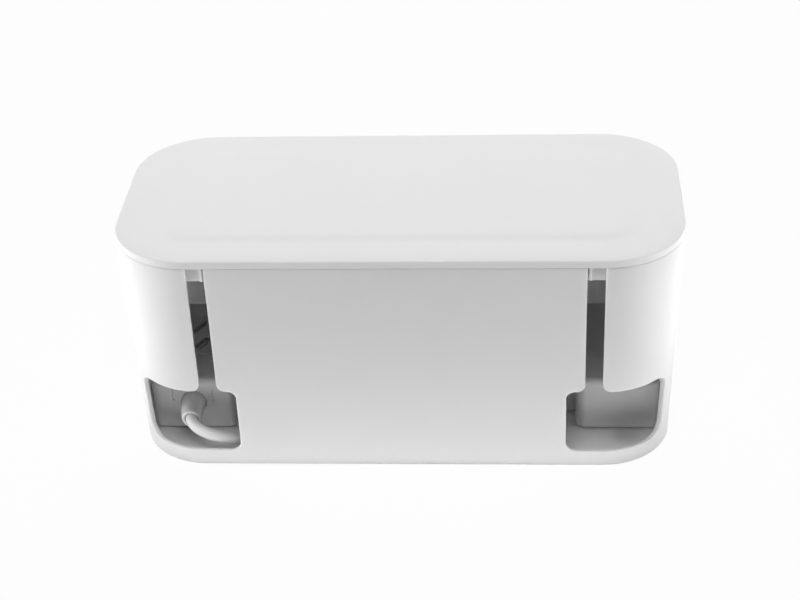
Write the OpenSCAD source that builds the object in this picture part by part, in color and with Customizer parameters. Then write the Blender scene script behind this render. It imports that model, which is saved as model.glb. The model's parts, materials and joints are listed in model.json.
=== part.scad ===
// Cable management box: a drafted tub with two cable slots and two corner openings in its
// front wall, a lift-off lid, and a two-block power strip with its mains lead inside.
// Origin: centre of the footprint, on the surface the box stands on. +X right, +Y back, +Z up.

/* [Box] */
// Length of the box at its rim
box_length = 320; // [312:1:380]
// Depth of the box at its rim
box_depth = 150; // [148:1:190]
// Height of the tub from its underside to its rim
tub_height = 135.8; // [110:0.2:170]
// Radius of the box's upright corners at the rim
corner_radius = 45; // [44:0.5:50]
// How far each side leans in from the rim to the underside
draft_inset = 4.6; // [3:0.1:6]
// Thickness of the tub's walls
wall = 2.5; // [2:0.1:3]
// Thickness of the tub's floor
floor_thickness = 2.5; // [2.2:0.1:3.5]
// Radius of the tub's bottom edge
bottom_round = 2; // [1:0.1:2.4]
// Radius of the edge all round the rim
rim_round = 0.6; // [0.3:0.1:1]

/* [Cable openings] */
// Width of the two upright cable slots
slot_width = 10; // [8:0.5:14]
// Radius where a slot runs into its corner opening
slot_fillet = 5; // [3:0.5:8]
// Distance from a corner opening's inner edge to the slot's centre line
slot_step = 15.5; // [13:0.5:20]
// Length of a corner opening along the front, from the end of the box
opening_run = 66; // [62:0.5:70]
// How far a corner opening wraps round the corner, from the front of the box
opening_wrap = 23.5; // [20:0.5:28]
// Height of a corner opening's lower edge above the tub's underside
opening_low = 10; // [8:0.5:14]
// Height of a corner opening's upper edge above the tub's underside
opening_high = 52.5; // [45:0.5:60]
// Radius of a corner opening's inner upper corner
opening_round_high = 5; // [3:0.5:7]
// Radius of a corner opening's inner lower corner
opening_round_low = 6; // [3:0.5:8]
// Radius of the upper corner where the opening ends on the side
wrap_round_high = 9; // [5:0.5:10]
// Radius of the lower corner where the opening ends on the side
wrap_round_low = 10; // [5:0.5:12]

/* [Lid] */
// Height of the lid's edge, seen from outside
lid_edge = 4.6; // [3.6:0.1:6]
// Gap between the lid's edge and the tub's rim
lid_seam = 0.3; // [0.2:0.05:0.5]
// Thickness of the lid's top plate
lid_plate = 2.6; // [2:0.1:3.2]
// Radius of the lid's top edge
lid_round = 2; // [1:0.1:2.5]
// Width of the gently falling border of the lid's top
shoulder_width = 9; // [6:0.5:12]
// How far that border falls
shoulder_drop = 0.35; // [0.2:0.05:0.5]
// How far the locating lip reaches below the lid's top
lip_reach = 14.5; // [11:0.5:20]
// Thickness of the locating lip
lip_thickness = 2; // [1.5:0.1:2.5]
// Gap between the lip and the tub's wall at the lip's lower edge
lip_clearance = 0.4; // [0.3:0.05:0.8]
// Distance from the box's end to the foot of the raised panel
panel_margin_end = 26; // [22:0.5:34]
// Distance from the box's front or back to the foot of the raised panel
panel_margin_side = 21.5; // [18:0.5:28]
// Corner radius at the foot of the raised panel
panel_radius = 19; // [14:0.5:24]
// Width of the soft step up to the raised panel
panel_step = 5; // [3:0.5:7]
// Height of the raised panel
panel_rise = 0.7; // [0.4:0.1:1.2]
// Width of the lip's guide ribs, which run in the slots
guide_width = 1.4; // [1:0.1:2]
// Gap between a guide rib and its slot's inner edge
guide_clearance = 0.9; // [0.5:0.1:1.5]

/* [Feet] */
// Diameter of the rubber feet
foot_diameter = 14; // [10:0.5:18]
// How far the feet stand out below the tub
foot_proud = 1; // [0.8:0.1:2]
// Depth of the feet's recesses
foot_recess = 1.2; // [0.8:0.1:1.4]
// Gap round a foot in its recess
foot_clearance = 0.2; // [0.1:0.05:0.4]

/* [Power strip] */
// Gap from the box's ends to the strip's ends
strip_end_gap = 9; // [8.5:0.5:20]
// Distance from the box's front to the strip's front face
strip_setback = 37; // [35:0.5:39]
// Distance from the box's back to the strip's back face
strip_back_gap = 26; // [25:0.5:30]
// Height of the strip's housing
strip_height = 34; // [32:0.5:38]
// Length of each end block
block_length = 50; // [48:0.5:52]
// How far the middle bar stands back from the end blocks' faces
bay_depth = 17; // [15:0.5:18]
// Wall thickness of the strip's cover
strip_wall = 2.5; // [2.2:0.1:3]
// Radius of the strip's upright edges
strip_edge_round = 5; // [4.6:0.1:6]
// Radius of the strip's two outer upright edges at the back
strip_back_round = 16; // [15:0.5:18]
// Radius of the strip's top edges
strip_top_round = 4; // [2:0.5:4.5]
// Thickness of the strip's base plate
base_plate = 2.5; // [2.2:0.1:3]
// Gap between the base plate and the cover
base_clearance = 0.3; // [0.2:0.05:0.5]
// Diameter of the strip's rubber pads
pad_diameter = 10; // [8:0.5:12]
// How far the pads stand out below the strip
pad_proud = 0.8; // [0.6:0.1:1.5]

/* [Outlets] */
// Distance between outlets
outlet_pitch = 46; // [44:0.5:47]
// Diameter of an outlet's face
outlet_diameter = 40; // [38:0.5:41]
// Angle of the outlets' slots from the box's depth
outlet_angle = 29; // [0:1:45]
// Distance between the two flat contact slots
contact_spacing = 12.7; // [12:0.1:13]
// Distance from the outlet's centre to the earth hole
earth_offset = 11.9; // [11:0.1:12.5]

/* [Lead] */
// Diameter of the mains lead
lead_diameter = 7; // [6:0.5:7]
// Diameter across the middle of the coil's turns
coil_diameter = 83; // [78:1:86]

/* [Hidden] */
$fn = 72;
eps = 0.01;

// Heights
tub_z = foot_proud;
rim_z = tub_z + tub_height;
floor_z = tub_z + floor_thickness;
lid_low_z = rim_z + lid_seam;
lid_top_z = lid_low_z + lid_edge;
lip_low_z = lid_top_z - lip_reach;
strip_low_z = floor_z + pad_proud;
strip_top_z = strip_low_z + strip_height;

// Plan: the axes of the upright corners
corner_x = box_length / 2 - corner_radius;
corner_y = box_depth / 2 - corner_radius;
draft_angle = atan(draft_inset / tub_height);
foot_shift = 14;
foot_x = corner_x + foot_shift;
foot_y = corner_y + foot_shift;
foot_edge = 0.4;
inner_round = 3;

// Openings
opening_x = box_length / 2 - opening_run;
slot_x = opening_x + slot_step;
wrap_y = -box_depth / 2 + opening_wrap;
far = box_length;

// Lid: how deep the raised panel and the guide ribs are rooted
panel_root = 0.5;
rib_root = 1;
lip_inset = wall + lip_clearance + draft_inset * (rim_z - lip_low_z) / tub_height;

// Strip plan
strip_end = box_length / 2 - strip_end_gap;
block_x = strip_end - block_length;
strip_front = -box_depth / 2 + strip_setback;
strip_back = box_depth / 2 - strip_back_gap;
bar_front = strip_front + bay_depth;
bar_back = strip_back - bay_depth;
strip_mid = (strip_front + strip_back) / 2;
bar_overlap = 12;

// Strip parts
outlet_count = 4;
strip_low_round = 1;
pad_inset = [22, 13.5];
pad_root = 0.6;
seat_clearance = 0.2;
seat_depth = 1.5;
seat_ledge = 2;
screw_shaft = 2.8;
screw_length = 14;
screw_hole = 3.2;
screw_head = [5.8, 1.2];
screw_sink = 1.4;
screw_cross = [3.8, 0.7, 0.7];
boss_diameter = 7;
boss_pilot = [2.9, 17];
end_boss_inset = [9, 8, 10.5];
bar_boss_inset = 7.5;
bus_rise = 8;
bus_z = strip_low_z + base_plate + bus_rise;
bus_thickness = 0.8;
bus_width = 5;
bus_end = 4;
bus_shift = [3.7, -3.7, 10.9];
slot_size = [3.3, 13];
earth_diameter = 6;
insert_depth = 10;
insert_ledge = 2.2;
contact_blade = [0.6, 4.4];
contact_gap = 2.6;
post_size = [4, 3];

// Charging ports and switch, on the left end block
port_inset = [23.5, 48.5];
port_plate = [19, 44];
port_radius = 4;
port_depth = 7;
port_a_shift = [-1.5, 9.2];
port_a_size = [3.4, 14.5];
port_b_shift = [2.5, -9.2];
port_b_size = [5.4, 12.8];
port_tongue = [1.7, 11];
board_shift = [6, 17];
board_post = 4;
board_thickness = 1.6;
board_z = strip_top_z - insert_depth - board_thickness - 0.3;
converter_size = [9, 11, 5];
switch_inset = [40.5, 53];
switch_face = [13.4, 21];
switch_radius = 2;
switch_collar = 0.8;
switch_body = [11, 18.6];
switch_depth = 15;
switch_pocket = 12;
rocker_size = [7.6, 15];
rocker_play = [0.8, 1.4];
rocker_tips = [5.4, 3.6];
rocker_keel = [2.6, 6];
rocker_brim = 0.5;
rocker_hollow = [3, 10];
rocker_tilt = 8;
rocker_pivot_drop = 3;
axle_diameter = 2.4;
axle_bore = 2.5;

// Strain relief boot
boot_inset = [25, 18];
boot_x = -(strip_end - boot_inset[0]);
boot_z = strip_low_z + boot_inset[1];
boot_reach = 16;
boot_base = 14.3;
boot_gap = 0.7;
boot_tip = 11.4;
boot_flange = [19, 2.5];
boot_mouth = 8;
boot_bore_start = 8;
slit_shift = [12, 1];
slit_size = [1.1, 1.4, 9];

// Lead: route points, from inside the boot along the floor and up to the coil
lead_route = [
  [-126, -46, 22.3], [-126, -51, 22.4], [-124.6, -56, 22], [-120.5, -60.2, 20.9],
  [-114.5, -62, 18.7], [-108, -61.8, 16.3], [-101, -60, 13], [-94, -57.5, 9.8],
  [-84, -54.8, 8], [-70, -53, 7.3], [-54, -52, 7.5], [-38, -51, 10.2],
  [-22, -48.5, 17], [-6, -44.8, 27.5], [10, -41.4, 37], [24, -39.8, 41.8]
];
// Tail: route points, from the coil down to the plug
tail_route = [
  [25, 50.3, 56.5], [12, 48, 55.6], [0, 41, 54], [-10, 31, 52],
  [-20, 21.5, 50], [-30, 16.2, 48.8], [-38, 15, 48.4]
];
route_steps = 2;
tube_sides = 12;
coil_center = [44, strip_mid];
coil_layers = 3;
coil_columns = 2;
coil_z = strip_top_z + 0.1;
coil_wide = (coil_columns * lead_diameter) / 2 + 0.3;
coil_high = coil_layers * lead_diameter + 1.5;
tie_thickness = 1.2;
tie_width = 12;
tie_angle = -66;
tie_clearance = 0.7;
plug_x = -38;
plug_y = 15;
plug_size = [28, 25, 20];
plug_relief = [20, 9, 5.6];
plug_round = 4;
plug_waist = [0.7, 0.6];
plug_z = strip_top_z + plug_size[2] / 2 + 0.1;
blade_size = [17, 6.4, 1.5];
blade_drop = 3;
earth_pin = [19, 4.8];
earth_rise = 6;

// ---------- profiles and shapes that repeat ----------

// Turns [x, y] by an angle
function turned(p, a) = [p[0] * cos(a) - p[1] * sin(a), p[0] * sin(a) + p[1] * cos(a)];

// Cuts everything outside a rounded corner; the corner points to +X and +Y times the signs
module corner_cut(r, sx, sy) {
  difference() {
    translate([sx > 0 ? 0 : -2 * r, sy > 0 ? 0 : -2 * r])
      square(2 * r);
    circle(r);
  }
}

// Region from the corner axis out to a wall that leans out going up, from height low to high,
// with radius low_round at its bottom outer edge and high_round at its top outer edge
module drafted_region(radius, low, high, low_round, high_round) {
  lean = tan(draft_angle);
  at_low = radius - draft_inset + (low - tub_z) * lean;
  at_high = radius - draft_inset + (high - tub_z) * lean;
  low_x = at_low + low_round * lean - low_round / cos(draft_angle);
  high_x = at_high - high_round * lean - high_round / cos(draft_angle);
  difference() {
    polygon([[0, low], [at_low, low], [at_high, high], [0, high]]);
    difference() {
      polygon([
        [low_x, low - 1], [at_low + 2, low - 1], [at_low + 2, low + low_round * (1 - sin(draft_angle))],
        [low_x + low_round * cos(draft_angle), low + low_round * (1 - sin(draft_angle))],
        [low_x, low + low_round]
      ]);
      translate([low_x, low + low_round])
        circle(low_round);
    }
    if (high_round > 0)
      difference() {
        polygon([
          [high_x, high + 1], [at_high + 2, high + 1],
          [at_high + 2, high - high_round * (1 + sin(draft_angle))],
          [high_x + high_round * cos(draft_angle), high - high_round * (1 + sin(draft_angle))],
          [high_x, high - high_round]
        ]);
        translate([high_x, high - high_round])
          circle(high_round);
      }
  }
}

// Sweeps a profile, measured out from the corner axis, round a rectangle of corner axes
module swept(half_x, half_y) {
  for (mx = [0, 1])
    for (my = [0, 1])
      mirror([mx, 0, 0])
        mirror([0, my, 0])
          translate([half_x, half_y, 0])
            rotate_extrude(angle = 90)
              children();
  for (m = [0, 1])
    mirror([m, 0, 0])
      translate([half_x, half_y, 0])
        rotate([90, 0, 0])
          linear_extrude(2 * half_y)
            children();
  for (m = [0, 1])
    mirror([0, m, 0])
      translate([-half_x, half_y, 0])
        rotate([90, 0, 90])
          linear_extrude(2 * half_x)
            children();
}

// A slab that fills the middle of a swept shape
module middle(half_x, half_y, low, high) {
  translate([-half_x, -half_y, low])
    cube([2 * half_x, 2 * half_y, high - low]);
}

// Box from x0 to x1, y0 to y1, z0 to z1 with round upright, top and bottom edges
module rounded_box(x0, x1, y0, y1, z0, z1, upright, top, bottom) {
  half_x = (x1 - x0) / 2 - upright;
  half_y = (y1 - y0) / 2 - upright;
  translate([(x0 + x1) / 2, (y0 + y1) / 2, 0]) {
    swept(half_x, half_y)
      edge_profile(upright, z0, z1, top, bottom);
    middle(half_x, half_y, z0, z1);
  }
}

module edge_profile(reach, z0, z1, top, bottom) {
  difference() {
    translate([0, z0])
      square([reach, z1 - z0]);
    if (top > 0)
      translate([reach - top, z1 - top])
        corner_cut(top, 1, 1);
    if (bottom > 0)
      translate([reach - bottom, z0 + bottom])
        corner_cut(bottom, 1, -1);
  }
}

// Flat plate with round upright edges
module round_plate(size, height, radius) {
  difference() {
    translate([-size[0] / 2, -size[1] / 2, 0])
      cube([size[0], size[1], height]);
    for (sx = [-1, 1])
      for (sy = [-1, 1])
        translate([sx * (size[0] / 2 - radius), sy * (size[1] / 2 - radius), -1])
          linear_extrude(height + 2)
            corner_cut(radius, sx, sy);
  }
}

// ---------- tub and lid ----------

module corner_opening_front() {
  difference() {
    translate([opening_x, tub_z + opening_low])
      square([far, opening_high - opening_low]);
    translate([opening_x + opening_round_high, tub_z + opening_high - opening_round_high])
      corner_cut(opening_round_high, -1, 1);
    translate([opening_x + opening_round_low, tub_z + opening_low + opening_round_low])
      corner_cut(opening_round_low, -1, -1);
  }
}

module corner_opening_side() {
  difference() {
    translate([wrap_y - far, tub_z + opening_low])
      square([far, opening_high - opening_low]);
    translate([wrap_y - wrap_round_high, tub_z + opening_high - wrap_round_high])
      corner_cut(wrap_round_high, 1, 1);
    translate([wrap_y - wrap_round_low, tub_z + opening_low + wrap_round_low])
      corner_cut(wrap_round_low, 1, -1);
  }
}

module slot_outline() {
  low = tub_z + opening_high;
  translate([slot_x - slot_width / 2, low - 1])
    square([slot_width, rim_z - low + 2]);
  for (side = [-1, 1])
    difference() {
      translate([slot_x + side * (slot_width + slot_fillet) / 2 - slot_fillet / 2, low - 1])
        square([slot_fillet, slot_fillet + 1]);
      translate([slot_x + side * (slot_width / 2 + slot_fillet), low + slot_fillet])
        circle(slot_fillet);
    }
}

module cable_openings() {
  for (m = [0, 1])
    mirror([m, 0, 0]) {
      intersection() {
        rotate([90, 0, 0])
          linear_extrude(far)
            corner_opening_front();
        rotate([90, 0, 90])
          linear_extrude(far)
            corner_opening_side();
      }
      translate([0, -box_depth / 2 + draft_inset + wall + 2, 0])
        rotate([90, 0, 0])
          linear_extrude(far)
            slot_outline();
    }
}

module tub() {
  color("white")
    difference() {
      union() {
        swept(corner_x, corner_y)
          difference() {
            drafted_region(corner_radius, tub_z, rim_z, bottom_round, rim_round);
            drafted_region(corner_radius - wall, floor_z, rim_z + 1, inner_round, 0);
          }
        middle(corner_x, corner_y, tub_z, floor_z);
      }
      cable_openings();
      for (sx = [-1, 1])
        for (sy = [-1, 1])
          translate([sx * foot_x, sy * foot_y, tub_z - 1])
            cylinder(h = foot_recess + 1, d = foot_diameter + 2 * foot_clearance);
    }
}

module foot(sx, sy) {
  color("gainsboro")
    translate([sx * foot_x, sy * foot_y, 0])
      rotate_extrude()
        edge_profile(foot_diameter / 2, 0, foot_proud + foot_recess, 0, foot_edge);
}

// Lid edge: top border falls on a large arc and turns down with a small radius
module lid_profile() {
  big = shoulder_width * shoulder_width / (2 * shoulder_drop);
  flat = corner_radius - shoulder_width;
  small_x = corner_radius - lid_round;
  small_z = lid_top_z - big + sqrt(pow(big - lid_round, 2) - pow(small_x - flat, 2));
  along = lid_round / (big - lid_round);
  touch_x = small_x + (small_x - flat) * along;
  touch_z = small_z + (small_z - lid_top_z + big) * along;
  difference() {
    union() {
      translate([0, lid_low_z])
        square([flat, lid_edge]);
      intersection() {
        translate([flat, lid_low_z])
          square([shoulder_width, lid_edge]);
        translate([flat, lid_top_z - big])
          circle(big, $fn = 720);
      }
    }
    difference() {
      polygon([
        [small_x, small_z], [corner_radius + 1, small_z], [corner_radius + 1, lid_top_z + 1],
        [touch_x, lid_top_z + 1], [touch_x, touch_z]
      ]);
      translate([small_x, small_z])
        circle(lid_round);
    }
    translate([corner_radius - rim_round, lid_low_z + rim_round])
      corner_cut(rim_round, 1, -1);
    translate([-1, lid_low_z - 1])
      square([corner_radius - lip_inset - lip_thickness + 1, lid_edge - lid_plate + 1]);
  }
  difference() {
    translate([corner_radius - lip_inset - lip_thickness, lip_low_z])
      square([lip_thickness, lid_low_z - lip_low_z + eps]);
    translate([corner_radius - lip_inset - rim_round, lip_low_z + rim_round])
      corner_cut(rim_round, 1, -1);
  }
}

// Soft step: an arc that hollows at the foot and an arc that rounds at the top
module panel_profile() {
  bend = (panel_step * panel_step + panel_rise * panel_rise) / (4 * panel_rise);
  inner = panel_radius - panel_step;
  translate([0, lid_top_z - panel_root])
    square([inner, panel_rise + panel_root]);
  intersection() {
    translate([inner, lid_top_z - panel_root])
      square([panel_step / 2, panel_rise + panel_root]);
    translate([inner, lid_top_z + panel_rise - bend])
      circle(bend, $fn = 360);
  }
  difference() {
    translate([inner + panel_step / 2, lid_top_z - panel_root])
      square([panel_step / 2, panel_rise / 2 + panel_root]);
    translate([panel_radius, lid_top_z + bend])
      circle(bend, $fn = 360);
  }
}

module lid() {
  panel_x = box_length / 2 - panel_margin_end - panel_radius;
  panel_y = box_depth / 2 - panel_margin_side - panel_radius;
  guide_x = slot_x - slot_width / 2 + guide_clearance;
  lip_face = -box_depth / 2 + lip_inset;
  color("white") {
    swept(corner_x, corner_y)
      lid_profile();
    middle(corner_x, corner_y, lid_top_z - lid_plate, lid_top_z);
    swept(panel_x, panel_y)
      panel_profile();
    middle(panel_x, panel_y, lid_top_z - panel_root, lid_top_z + panel_rise);
    for (m = [0, 1])
      mirror([m, 0, 0])
        translate([guide_x, lip_face - lip_inset + rib_root, lip_low_z + rib_root])
          cube([
            guide_width, lip_inset + lip_thickness / 2 - rib_root, lid_low_z - lip_low_z - rib_root + eps
          ]);
  }
}

// ---------- power strip ----------

module strip_outline_solid(grow, z0, z1, top, bottom) {
  for (side = [-1, 1])
    difference() {
      rounded_box(
        side > 0 ? block_x - grow : -strip_end - grow,
        side > 0 ? strip_end + grow : -block_x + grow,
        strip_front - grow, strip_back + grow, z0, z1, strip_edge_round + grow, top, bottom
      );
      translate([side * (strip_end - strip_back_round), strip_back - strip_back_round, z0 - 1])
        linear_extrude(z1 - z0 + 2)
          corner_cut(strip_back_round + grow, side, 1);
    }
  translate([-block_x - bar_overlap, 0, 0])
    rotate([90, 0, 90])
      linear_extrude(2 * (block_x + bar_overlap))
        difference() {
          translate([bar_front - grow, z0])
            square([bar_back - bar_front + 2 * grow, z1 - z0]);
          if (top > 0)
            for (side = [-1, 1])
              translate([side > 0 ? bar_back + grow - top : bar_front - grow + top, z1 - top])
                corner_cut(top, side, 1);
          if (bottom > 0)
            for (side = [-1, 1])
              translate([side > 0 ? bar_back + grow - bottom : bar_front - grow + bottom, z0 + bottom])
                corner_cut(bottom, side, -1);
        }
}

// Places children at the four end bosses and the bar's two front bosses, clear of the bus bars
module at_bosses() {
  for (sx = [-1, 1])
    for (y = [strip_front + end_boss_inset[1], strip_back - end_boss_inset[2]])
      translate([sx * (strip_end - end_boss_inset[0]), y, 0])
        children();
  for (sx = [-1, 1])
    translate([sx * outlet_count * outlet_pitch / 2, bar_front + bar_boss_inset, 0])
      children();
}

// Places children at one outlet; number counts from the left
module at_outlet(number) {
  translate([(number - (outlet_count + 1) / 2) * outlet_pitch, strip_mid, 0])
    children();
}

module at_ports() {
  translate([-strip_end + port_inset[0], strip_front + port_inset[1], 0])
    children();
}

module at_switch() {
  translate([-strip_end + switch_inset[0], strip_front + switch_inset[1], 0])
    children();
}

module at_pads() {
  for (sx = [-1, 1])
    for (sy = [-1, 1])
      translate([
        sx * (strip_end - pad_inset[0]), strip_mid + sy * ((strip_back - strip_front) / 2 - pad_inset[1]), 0
      ])
        children();
}

module strip_cover() {
  color("whitesmoke")
    difference() {
      union() {
        difference() {
          strip_outline_solid(0, strip_low_z, strip_top_z, strip_top_round, strip_low_round);
          strip_outline_solid(-strip_wall, strip_low_z - 1, strip_top_z - strip_wall, 0, 0);
        }
        at_bosses()
          translate([0, 0, strip_low_z + base_plate])
            cylinder(h = strip_height - base_plate - strip_wall / 2, d = boss_diameter);
      }
      at_bosses()
        translate([0, 0, strip_low_z - 1])
          cylinder(h = 1 + boss_pilot[1], d = boss_pilot[0]);
      for (i = [1 : outlet_count])
        at_outlet(i)
          insert_seat(outlet_diameter / 2, outlet_diameter / 2 - insert_ledge);
      at_ports()
        plate_seat(port_plate, port_radius);
      at_switch()
        plate_seat(switch_face, switch_radius);
      translate([boot_x, strip_front + strip_wall + 1, boot_z])
        rotate([90, 0, 0])
          cylinder(h = strip_wall + 2, d = boot_base + 2 * boot_gap);
      for (side = [-1, 1])
        translate([
          boot_x + side * slit_shift[0] - slit_size[0] / 2, strip_front - 1, boot_z + slit_shift[1]
        ])
          cube([slit_size[0], 1 + slit_size[1], slit_size[2]]);
    }
}

module insert_seat(face, hole) {
  translate([0, 0, strip_top_z - seat_depth])
    cylinder(h = seat_depth + 1, r = face + seat_clearance);
  translate([0, 0, strip_top_z - strip_wall - 1])
    cylinder(h = strip_wall + 2, r = hole + seat_clearance);
}

module plate_seat(size, radius) {
  translate([0, 0, strip_top_z - seat_depth])
    round_plate([size[0] + 2 * seat_clearance, size[1] + 2 * seat_clearance], seat_depth + 1, radius);
  translate([0, 0, strip_top_z - strip_wall - 1])
    round_plate([size[0] - seat_ledge, size[1] - seat_ledge], strip_wall + 2, radius / 2);
}

module strip_base() {
  rim = strip_wall + base_clearance;
  top = strip_low_z + base_plate;
  color("whitesmoke") {
    difference() {
      strip_outline_solid(-rim, strip_low_z, top, 0, 0);
      at_bosses()
        translate([0, 0, strip_low_z - 1]) {
          cylinder(h = base_plate + 2, d = screw_hole);
          cylinder(h = screw_sink + 1, d = screw_head[0] + 0.6);
        }
      at_pads()
        translate([0, 0, strip_low_z - 1])
          cylinder(h = 1 + pad_root + seat_clearance, d = pad_diameter + 2 * seat_clearance);
    }
    for (shift = bus_shift)
      for (i = [1 : outlet_count - 1])
        translate([
          (i - outlet_count / 2) * outlet_pitch - post_size[0] / 2,
          strip_mid + shift - post_size[1] / 2, top - eps
        ])
          cube([post_size[0], post_size[1], bus_z - top + eps]);
    at_ports()
      for (sx = [-1, 1])
        for (sy = [-1, 1])
          translate([sx * board_shift[0], sy * board_shift[1], top - eps])
            cylinder(h = board_z - top + eps, d = board_post);
  }
}

module strip_screws() {
  color("silver")
    at_bosses()
      translate([0, 0, strip_low_z + screw_sink]) {
        translate([0, 0, -screw_head[1]])
          difference() {
            cylinder(h = screw_head[1], d = screw_head[0]);
            for (a = [0, 90])
              rotate([0, 0, a])
                translate([-screw_cross[0] / 2, -screw_cross[1] / 2, -1])
                  cube([screw_cross[0], screw_cross[1], 1 + screw_cross[2]]);
          }
        cylinder(h = screw_length, d = screw_shaft);
      }
}

module strip_pads() {
  color("gainsboro")
    at_pads()
      translate([0, 0, floor_z])
        cylinder(h = pad_proud + pad_root, d = pad_diameter);
}

module outlet_insert(number) {
  color("whitesmoke")
    at_outlet(number)
      difference() {
        union() {
          translate([0, 0, strip_top_z - seat_depth])
            cylinder(h = seat_depth, d = outlet_diameter);
          translate([0, 0, strip_top_z - insert_depth])
            cylinder(h = insert_depth - seat_depth, r = outlet_diameter / 2 - insert_ledge);
        }
        rotate([0, 0, -outlet_angle]) {
          for (side = [-1, 1])
            translate([side * contact_spacing / 2, 0, strip_top_z - insert_depth - 1])
              translate([-slot_size[0] / 2, -slot_size[1] / 2, 0])
                cube([slot_size[0], slot_size[1], insert_depth + 2]);
          translate([0, earth_offset, strip_top_z - insert_depth - 1])
            cylinder(h = insert_depth + 2, d = earth_diameter);
        }
      }
}

module port_insert() {
  color("whitesmoke")
    at_ports()
      difference() {
        union() {
          translate([0, 0, strip_top_z - seat_depth])
            round_plate(port_plate, seat_depth, port_radius - seat_clearance);
          translate([0, 0, strip_top_z - insert_depth])
            round_plate(
              [port_plate[0] - seat_ledge - 1, port_plate[1] - seat_ledge - 1],
              insert_depth - seat_depth, port_radius / 2 - seat_clearance
            );
        }
        translate([port_a_shift[0], port_a_shift[1], strip_top_z - port_depth])
          rotate([0, 0, -outlet_angle])
            round_plate(port_a_size, port_depth + 1, 0.8);
        translate([port_b_shift[0], port_b_shift[1], strip_top_z - port_depth])
          rotate([0, 0, -outlet_angle])
            difference() {
              round_plate(port_b_size, port_depth + 1, 0.6);
              translate([0, 0, -1])
                round_plate(port_tongue, port_depth, 0.3);
            }
      }
}

module charging_board() {
  color("seagreen")
    at_ports() {
      translate([0, 0, board_z])
        round_plate([port_plate[0] - 4, port_plate[1] - 4], board_thickness, 1);
      translate([0, 0, board_z - converter_size[2]])
        round_plate(converter_size, converter_size[2], 1);
    }
}

module bus(shift, contact) {
  length = (outlet_count - 1) * outlet_pitch + 2 * bus_end;
  reach = strip_top_z - insert_depth - 0.4 - bus_z - bus_thickness;
  translate([contact[0] - length / 2, strip_mid + shift - bus_width / 2, bus_z])
    cube([length, bus_width, bus_thickness]);
  for (i = [1 : outlet_count])
    at_outlet(i)
      translate([contact[0], contact[1], bus_z + bus_thickness - eps])
        rotate([0, 0, -outlet_angle])
          for (side = [-1, 1])
            translate([(side * contact_gap - contact_blade[0]) / 2, -contact_blade[1] / 2, 0])
              cube([contact_blade[0], contact_blade[1], reach]);
}

module live_bus() {
  color("goldenrod")
    bus(bus_shift[0], turned([-contact_spacing / 2, 0], -outlet_angle));
}

module neutral_bus() {
  color("goldenrod")
    bus(bus_shift[1], turned([contact_spacing / 2, 0], -outlet_angle));
}

module earth_bus() {
  color("goldenrod")
    bus(bus_shift[2], turned([0, earth_offset], -outlet_angle));
}

module switch_housing() {
  pivot_z = strip_top_z - rocker_pivot_drop;
  color("whitesmoke")
    at_switch()
      difference() {
        union() {
          translate([0, 0, strip_top_z - seat_depth])
            round_plate(switch_face, seat_depth + switch_collar, switch_radius - seat_clearance);
          translate([0, 0, strip_top_z - switch_depth])
            round_plate(switch_body, switch_depth - seat_depth, 0.8);
        }
        translate([0, 0, strip_top_z - switch_pocket])
          round_plate(
            [rocker_size[0] + rocker_play[0], rocker_size[1] + rocker_play[1]], switch_pocket + 2, 0.6
          );
        translate([0, 0, pivot_z])
          rotate([0, 90, 0])
            cylinder(h = rocker_size[0] + 2.4, d = axle_bore, center = true);
      }
}

// Rocker: two faces that meet in a shallow valley over the axle
module switch_rocker() {
  pivot_z = strip_top_z - rocker_pivot_drop;
  half = rocker_size[1] / 2;
  color("gainsboro")
    at_switch()
      translate([0, 0, pivot_z])
        rotate([-rocker_tilt, 0, 0]) {
          rotate([90, 0, 90])
            translate([0, 0, -rocker_size[0] / 2])
              linear_extrude(rocker_size[0])
                difference() {
                  polygon([
                    [-half, -rocker_brim], [-half, rocker_tips[0]], [0, rocker_tips[1]],
                    [half, rocker_tips[0]], [half, -rocker_brim],
                    [rocker_keel[0], -rocker_keel[1]], [-rocker_keel[0], -rocker_keel[1]]
                  ]);
                  translate([0, -rocker_hollow[1]])
                    circle(rocker_hollow[0]);
                }
          rotate([0, 90, 0])
            cylinder(h = rocker_size[0] + 2, d = axle_diameter, center = true);
        }
}

module cord_boot() {
  face = strip_front;
  color("whitesmoke")
    translate([boot_x, face, boot_z])
      rotate([90, 0, 0])
        rotate_extrude()
          difference() {
            union() {
              translate([0, -strip_wall - boot_flange[1]])
                square([boot_flange[0] / 2, boot_flange[1]]);
              polygon([
                [0, -strip_wall - eps], [boot_base / 2, -strip_wall - eps], [boot_base / 2, 0],
                [boot_tip / 2 + 0.3, boot_reach - 2], [boot_tip / 2, boot_reach], [0, boot_reach]
              ]);
            }
            polygon([
              [0, boot_bore_start], [lead_diameter / 2 + 0.1, boot_bore_start],
              [boot_mouth / 2, boot_reach - 1],
              [boot_mouth / 2 + 0.4, boot_reach + 1], [0, boot_reach + 1]
            ]);
          }
}

// ---------- lead ----------

function spline(p, i, t) =
  let (
    a = p[max(i - 1, 0)],
    b = p[i],
    c = p[i + 1],
    d = p[min(i + 2, len(p) - 1)]
  )
  0.5 * (2 * b + (c - a) * t + (2 * a - 5 * b + 4 * c - d) * t * t + (3 * b - a - 3 * c + d) * t * t * t);

function line_of(p) = [
  for (i = [0 : len(p) - 2])
    for (k = [0 : route_steps - 1])
      spline(p, i, k / route_steps),
  p[len(p) - 1]
];

function unit(v) = v / norm(v);

function ring(line, i, radius) =
  let (
    ahead = unit(line[min(i + 1, len(line) - 1)] - line[max(i - 1, 0)]),
    side = unit(cross(ahead, [0, 0, 1])),
    up = cross(side, ahead)
  )
  [
    for (k = [0 : tube_sides - 1])
      line[i] + radius * (cos(360 * k / tube_sides) * side + sin(360 * k / tube_sides) * up)
  ];

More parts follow.
